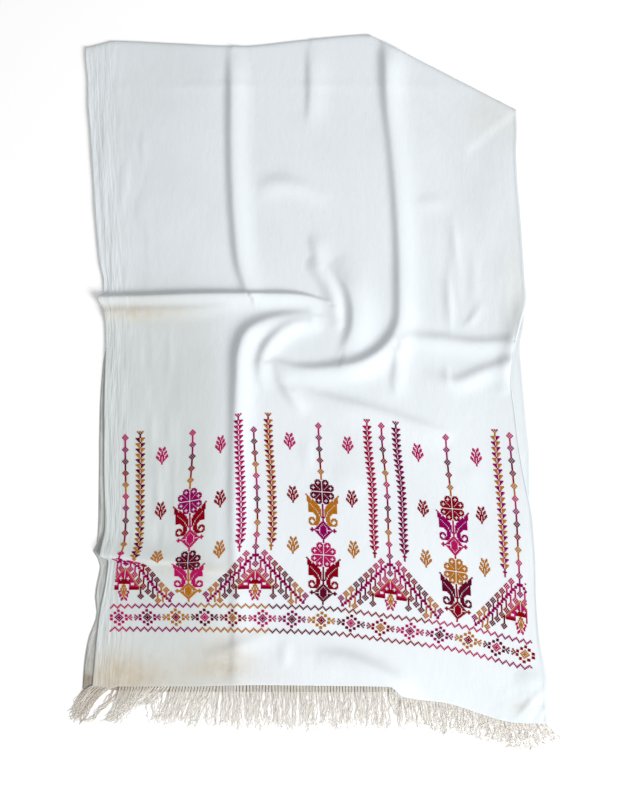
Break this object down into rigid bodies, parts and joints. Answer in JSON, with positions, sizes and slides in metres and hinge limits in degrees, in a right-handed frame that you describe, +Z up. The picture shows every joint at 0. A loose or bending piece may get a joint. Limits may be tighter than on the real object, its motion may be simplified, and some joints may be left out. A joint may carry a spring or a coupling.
{
  "type": "embroidered scarf",
  "caption": "Thin off-white scarf with cross-stitch borders and fringed ends, folded in half and laid flat with soft creases.",
  "frame": {"origin": "on the surface that the scarf lies on, in the middle of its laid-out length and width", "axes": "+Z up from the surface, +Y from the fringed ends to the fold, +X to the right seen from above"},
  "size_m": [0.7281, 1.0758, 0.0145],
  "materials": {
    "crepe": "matt off-white crepe with a fine even weave",
    "crepe_below": "the same crepe in the hidden half, slightly warmer in shade",
    "fringe": "loose off-white threads",
    "thread_pink": "soft embroidery thread, pink",
    "thread_purple": "soft embroidery thread, purple",
    "thread_maroon": "soft embroidery thread, maroon",
    "thread_red": "soft embroidery thread, dark red",
    "thread_mustard": "soft embroidery thread, mustard"
  },
  "bodies": {
    "root": {"top_layer": "crepe", "under_layers": "crepe_below", "fringe_top": "fringe", "fringe_under": "fringe"}
  },
  "joints": []
}
